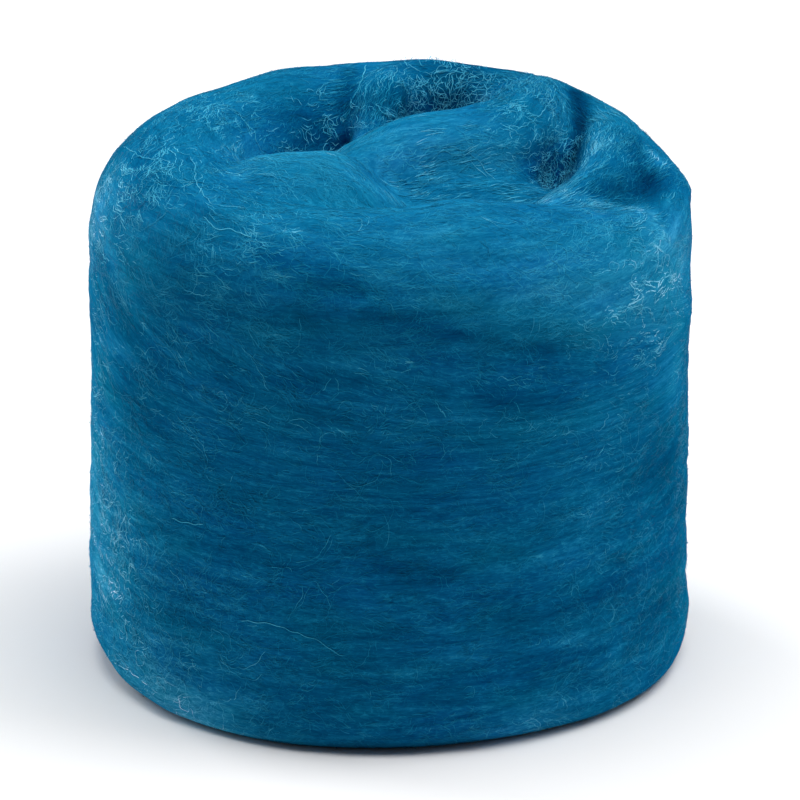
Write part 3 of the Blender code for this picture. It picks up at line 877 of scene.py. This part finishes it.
def crimp(sort, track, normals, length, rng):
    # Adds the crimp to the smooth tracks, and lifts and sinks them.
    count, points = track.shape[:2]
    travel = np.linspace(0, 1, points)[None] * length[:, None]
    along, side = alongAndSide(track, normals)

    def pick(key):
        return shared(sort, rng, *sort[key], count)[:, None]

    start = [shared(sort, rng, 0, fibreShape["phases"], count)[:, None] for _ in range(3)]
    phase = 2 * np.pi * travel / (pick("crimpLength") * mm) + start[0]
    much, slow = fibreShape["pace"]
    phase = phase + much * np.sin(phase * slow + start[1])
    swing = pick("crimp") * mm
    much, slow = fibreShape["second"]
    sideways = swing * (np.sin(phase) + much * np.sin(phase * slow + start[2]))
    rise = pick("lift") * mm
    rise = rise + pick("bob") * mm * np.sin(phase * fibreShape["bobPace"] + start[1])
    ends = np.minimum(travel, length[:, None] - travel) / fibreShape["taper"]
    rise = rise - fibreShape["dip"] * (1 - ends.clip(0, 1))
    track = track + side * sideways[..., None] + normals * rise[..., None]
    track = track + along * (sort["loop"] * swing * np.cos(phase))[..., None]
    return track, ends.clip(fibreShape["blunt"], 1), start


def ribbonMesh(name, sort, track, normals, length, faces, rng):
    # One mesh of all the fibres of a sort, each a ribbon along its own track.
    parts = sort.get("parts", fibreShape["parts"])
    track, normals = smoothRows(track, parts), unit(smoothRows(normals, parts))
    track, ends, start = crimp(sort, track, normals, length, rng)
    count, points = track.shape[:2]
    _, side = alongAndSide(track, normals)
    twist, turn, apart = fibreShape["twist"]
    twist = twist * np.sin(np.linspace(0, turn, points)[None] + start[0] * apart)
    half = rng.uniform(*sort["width"], count)[:, None] * mm / 2 * ends
    edge = turnedBy(twist, side, normals) * half[..., None]
    verts = np.stack([track - edge, track + edge], 2).reshape(-1, 3)
    verts[:, 2] = verts[:, 2].clip(cadLow[2])  # none goes below the floor
    first = (np.arange(count)[:, None] * points + np.arange(points - 1)[None]).ravel() * 2
    quads = np.column_stack([first, first + 2, first + 3, first + 1])
    mesh = bpy.data.meshes.new(name)
    mesh.from_pydata(verts, [], quads)
    much, turn = fibreShape["wave"]
    wave = much * np.sin(start[1] + np.linspace(0, turn, points)[None])
    shade = shared(sort, rng, *sort["shade"], count)[:, None] + wave
    if sort["where"] in fibreShape["boldness"]:
        bold = fibreShape["boldness"][sort["where"]] + spotsAt(centres[faces], spots["bold"])
        shade = shade * bold[:, None]
    shade = np.repeat((shade.clip(-1, 1) * ends).ravel(), 2)
    middles, faces = track.reshape(-1, 3), np.repeat(faces, points)
    # How much of the painted hollow shade and of the painted light and shade these fibres take.
    sunk = sort.get("sunk", 1)
    hollows, paintedShading = np.repeat(faceHollow[faces], 2) * sunk, np.repeat(paintedShadingAt(middles), 2) * sunk
    addFinish(mesh, np.repeat(middles, 2, axis=0), hollows, paintedShading, shade)
    along, across = combing(middles, faceRows[faces], centres[faces])
    rows = quads.ravel() // 2
    writeUv(mesh, along[rows], across[rows])
    sides = np.repeat(normals.reshape(-1, 3), 2, axis=0).tolist()
    mesh.normals_split_custom_set_from_vertices(sides)
    print(name, "laid:", 2 * len(quads), "triangles")
    return addObject(name, mesh)


fibres = []
for seed, (name, sort) in enumerate(fibreSorts.items(), fibreShape["seed"]):
    rng = np.random.default_rng(seed)
    fibres.append(ribbonMesh(name, sort, *traceFibres(sort, seed, rng), rng))


# Long threads that lie on the ball, each through its own points in millimetres.
threads = {
    "sort": {
        "where": "all", "lock": 1, "parts": 4, "width": (0.1, 0.16), "crimp": (0.05, 0.18),
        "crimpLength": (2.4, 4.4), "lift": (0.12, 0.25), "bob": (0.05, 0.15), "loop": 0.1,
        "shade": (0.85, 1.0),
    },
    "seed": 21,
    "pieces": 8,  # that each row is smoothed into
    "points": 12,  # of each track
    "rows": (
        ((-42, -10, 113.6), (-40.4, -15.8, 113.5), (-40.2, -22.7, 113.2), (-36.7, -33, 112.1),
            (-29.5, -36.3, 112.4)),
        ((-55.6, 7.7, 108.7), (-53.2, -1.7, 111.1), (-50.3, -8.3, 112.2), (-44.9, -12.9, 113.3)),
        ((-38.8, -36, 110.6), (-35.6, -41.1, 109.6), (-33.4, -41.9, 110.1), (-28.2, -46.4, 109.6)),
        ((-58, -23.6, 5.7), (-54.4, -31.1, 6.8), (-50, -37.7, 6.2)),
        ((-45.6, -42.6, 45.9), (-40.4, -47, 46.2), (-38.4, -48.8, 47.4)),
        ((-25.2, -57, 40.7), (-21.2, -58.6, 41.4), (-20.2, -58.8, 40)),
        ((-31.6, -53.6, 27.5), (-24.4, -57.3, 28.1), (-14.7, -60.3, 25.5), (-11.7, -61.1, 23.6),
            (-8.8, -61.6, 22.7)),
        ((-8.8, 34.3, 106.4), (-7.4, 37.4, 108.3), (-6.1, 41.5, 109.7), (-5.1, 50.8, 110.2)),
        ((-3.9, 25, 107.2), (-1.4, 33.7, 109), (0.3, 41, 110.2), (1.6, 51, 109.7)),
        ((25.9, 8, 112.2), (28.4, 12.1, 111.9), (31, 19.1, 111.2), (34.6, 35.6, 109.6)),
        ((34.2, 17.9, 103.5), (35.8, 21.9, 103.9), (37.6, 24.2, 104.3)),
        ((33.9, 17.3, 102.9), (34.1, 19.1, 99.9), (33.1, 16.2, 98.7), (31.5, 11.2, 98.5)),
        ((31.5, 2.5, 101.4), (35.2, 4.5, 103.1), (38.4, 6.1, 104.3), (40.1, 7.7, 106.2),
            (41.3, 17.4, 106.6)),
    ),
}


def threadTracks():
    # The threads' points, evenly spaced and put on the surface.
    tracks = []
    for rows in threads["rows"]:
        line = smoothRows(np.array(rows, float) * mm, threads["pieces"])
        travel = np.concatenate([[0], np.cumsum(np.linalg.norm(np.diff(line, axis=0), axis=1))])
        share = np.linspace(0, travel[-1], threads["points"])
        tracks.append(np.column_stack([np.interp(share, travel, axis) for axis in line.T]))
    tracks = np.array(tracks)
    landed, faces = settle(tracks.reshape(-1, 3))
    length = np.linalg.norm(np.diff(tracks, axis=1), axis=2).sum(1)
    faces = faces.reshape(tracks.shape[:2])
    return landed.reshape(tracks.shape), faceNormals[faces], length, faces[:, 0]


rng = np.random.default_rng(threads["seed"])
fibres.append(ribbonMesh("threads", threads["sort"], *threadTracks(), rng))


# Materials. The colours are for the middle tone, and the painted light and shade move them in stops.
dyeAndShade = {
    "deep": (0.0002, 0.050, 0.155, 1),
    # Painted shade for the hollows, mixed in by how hollow a place is.
    "hollowShade": (0.0002, 0.036, 0.200, 1),  # in the hollows
    "green": (0.002, 0.118, 0.235, 1),
    "blue": (0.002, 0.098, 0.255, 1),
    "light": (0.010, 0.212, 0.385, 1),
    "pale": (0.083, 0.460, 0.660, 1),
    "gloss": (0.01, 0.6, 1.0, 1),
    "shift": (3.1, 1.12, 0.84),  # how far red, green and blue move for a stop
    "patches": {"scale": 45, "detail": 3, "stretch": (1, 1, 2.4)},  # of green and blue
    "patchEdges": (0.3, 0.7),
    # How hollow a place must be for the painted hollow shade, and how much of it.
    "sunk": (0.3, 0.85, 0, 0.8),  # from how hollow to how hollow, and how navy
    "mottle": {"detail": 5, "stretch": (0.5, 3.0, 1), "roughness": 0.84, "wander": 0.35},
    "tufts": {"detail": 3, "stretch": (2.2, 6.0, 1), "roughness": 0.75, "place": 40, "wander": 1.2},
    "tuftStops": 0.7,
    "evened": (0.2, 0.8, -0.5, 0.5),  # noise from and to, and what that becomes
    "lines": (  # across and along the combing in cm, half-width in noise, place
        (0.13, 0.32, 0.022, 0),
        (0.09, 0.18, 0.026, 31),
        (0.2, 0.7, 0.014, 57),
    ),
    "linePatches": {"stretch": (1.6, 3.5, 1)},  # the lines come and go
    "linePlace": 9,  # how far off that noise is
    "lineGaps": (0.46, 0.62),
    "lineShade": 0.75,
}


def feed(tree, socket, value):
    # Links a node's output to a socket, or gives the socket a plain value.
    if isinstance(value, bpy.types.NodeSocket):
        tree.links.new(value, socket)
    else:
        socket.default_value = value


def addNode(tree, kind, inputs=None, **settings):
    # A node with its settings, and what goes into its inputs by name or number.
    node = tree.nodes.new(kind)
    for key, value in settings.items():
        setattr(node, key, value)
    for key, value in (inputs or {}).items():
        feed(tree, node.inputs[key], value)
    return node


def mixColours(tree, factor, a, b):
    return addNode(tree, "ShaderNodeMix", {0: factor, 6: a, 7: b}, data_type="RGBA").outputs[2]


def calculate(tree, operation, *values):
    return addNode(tree, "ShaderNodeMath", dict(enumerate(values)), operation=operation).outputs[0]


def attributeNode(tree, name):
    return addNode(tree, "ShaderNodeAttribute", attribute_name=name).outputs["Fac"]


def noiseNode(tree, vector, scale=1.0, detail=2.0, stretch=(1, 1, 1), roughness=0.5, place=0, wander=0):
    placed = {"Vector": vector, "Location": (place, place, 0), "Scale": stretch}
    placed = addNode(tree, "ShaderNodeMapping", placed).outputs["Vector"]
    inputs = {"Vector": placed, "Scale": scale, "Detail": detail, "Roughness": roughness}
    inputs["Distortion"] = wander
    return addNode(tree, "ShaderNodeTexNoise", inputs).outputs["Fac"]


def between(tree, value, low, high, toLow=0.0, toHigh=1.0):
    inputs = {"Value": value, "From Min": low, "From Max": high, "To Min": toLow, "To Max": toHigh}
    return addNode(tree, "ShaderNodeMapRange", inputs).outputs["Result"]


def toned(tree, colour, combed):
    # Lightens or darkens a colour by the stops in the painted light and shade, and in the mottle and the
    # tufts.
    mottle = between(tree, noiseNode(tree, combed, **dyeAndShade["mottle"]), *dyeAndShade["evened"])
    reach, paintedShading = attributeNode(tree, "mottle"), attributeNode(tree, "paintedShading")
    stops = calculate(tree, "MULTIPLY_ADD", mottle, reach, paintedShading)
    tufts = between(tree, noiseNode(tree, combed, **dyeAndShade["tufts"]), *dyeAndShade["evened"])
    stops = calculate(tree, "MULTIPLY_ADD", tufts, dyeAndShade["tuftStops"], stops)
    powers = [calculate(tree, "MULTIPLY", stops, share) for share in dyeAndShade["shift"]]
    powers = [calculate(tree, "POWER", 2.0, power) for power in powers]
    change = addNode(tree, "ShaderNodeCombineXYZ", dict(enumerate(powers))).outputs[0]
    inputs = {0: colour, 1: change}
    return addNode(tree, "ShaderNodeVectorMath", inputs, operation="MULTIPLY").outputs[0]


def dyePatchesAndHollowShade(tree):
    # The dye took a little greener in some places and bluer in others, and the hollows
    # get a painted navy shade.
    place = addNode(tree, "ShaderNodeTexCoord").outputs["Object"]
    broad = between(tree, noiseNode(tree, place, **dyeAndShade["patches"]), *dyeAndShade["patchEdges"])
    colour = mixColours(tree, broad, dyeAndShade["green"], dyeAndShade["blue"])
    sunk = between(tree, attributeNode(tree, "hollow"), *dyeAndShade["sunk"])
    return mixColours(tree, sunk, colour, dyeAndShade["hollowShade"])


def fineLines(tree, colour, combed):
    # Finer fibres than the modelled ones: light lines along the contours of smooth noise.
    total = 0.0
    for across, along, width, place in dyeAndShade["lines"]:
        value = noiseNode(tree, combed, detail=1, stretch=(1 / along, 1 / across, 1), place=place)
        away = calculate(tree, "ABSOLUTE", calculate(tree, "SUBTRACT", value, 0.5))
        line = between(tree, away, width, 0.0)
        patch = noiseNode(tree, combed, place=place + dyeAndShade["linePlace"], **dyeAndShade["linePatches"])
        line = calculate(tree, "MULTIPLY", line, between(tree, patch, *dyeAndShade["lineGaps"]))
        total = calculate(tree, "MAXIMUM", total, line)
    total = calculate(tree, "MULTIPLY", total, dyeAndShade["lineShade"])
    return mixColours(tree, total, colour, dyeAndShade["light"])


def bodyColour(tree, colour, combed):
    # Light and dark strands, then the fine lines.
    strands = noiseNode(tree, combed, **bodyLook["strands"])
    for value, name, rise in (
        (attributeNode(tree, "shade"), "light", bodyLook["shade"]),
        (strands, "light", bodyLook["lightStrands"]),
        (strands, "deep", bodyLook["darkStrands"]),
    ):
        colour = mixColours(tree, between(tree, value, *rise), colour, dyeAndShade[name])
    return fineLines(tree, colour, combed)


def fibreColour(tree, colour, combed):
    # From deep through the dye's colour, with its painted hollow shade, to pale, as the fibre's shade says.
    shade = attributeNode(tree, "shade")
    for name, rise in fibreLook["shades"]:
        colour = mixColours(tree, between(tree, shade, *rise), colour, dyeAndShade[name])
        if name == "deep":
            colour = fineLines(tree, colour, combed)
    return colour


bodyLook = {
    "name": "dyed wool",
    "colour": bodyColour,
    "shade": (0.0, 0.5),
    "strands": {"detail": 4, "stretch": (6, 26, 1)},
    "lightStrands": (0.52, 0.8, 0, 0.6),
    "darkStrands": (0.48, 0.25, 0, 0.3),
    "shader": {"Roughness": 0.9, "Specular IOR Level": 0.0, "Sheen Weight": 0.12, "Sheen Roughness": 0.45},
    "bumps": {"detail": 6, "stretch": (3.5, 34, 1)},
    "bump": {"Strength": 0.25, "Distance": 0.3 * mm},
}
fibreLook = {
    "name": "wool fibre",
    "colour": fibreColour,
    "shades": (("deep", (0.0, -0.8)), ("light", (0.0, 0.5)), ("pale", (0.5, 1.0))),
    "shader": {"Roughness": 0.6, "Specular IOR Level": 0.03, "Sheen Weight": 0.1, "Sheen Roughness": 0.5},
}


def woolMaterial(look):
    material = bpy.data.materials.new(look["name"])
    material.use_nodes = True
    tree = material.node_tree
    shader = tree.nodes["Principled BSDF"]
    combed = addNode(tree, "ShaderNodeUVMap", uv_map="combing").outputs["UV"]
    colour = look["colour"](tree, dyePatchesAndHollowShade(tree), combed)
    feed(tree, shader.inputs["Base Color"], toned(tree, colour, combed))
    setInputs(shader, look["shader"])
    setInputs(shader, {"Metallic": 0, "Specular Tint": dyeAndShade["gloss"], "Sheen Tint": dyeAndShade["gloss"]})
    if "bump" in look:
        bump = addNode(tree, "ShaderNodeBump", look["bump"])
        feed(tree, bump.inputs["Height"], noiseNode(tree, combed, **look["bumps"]))
        feed(tree, shader.inputs["Normal"], bump.outputs["Normal"])
    return material


surface.materials.append(woolMaterial(bodyLook))
fibreMaterial = woolMaterial(fibreLook)
for fibre in fibres:
    fibre.data.materials.append(fibreMaterial)
print("materials made")

for piece in [wool] + fibres:
    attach(piece, "root")
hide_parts("roving_ball")
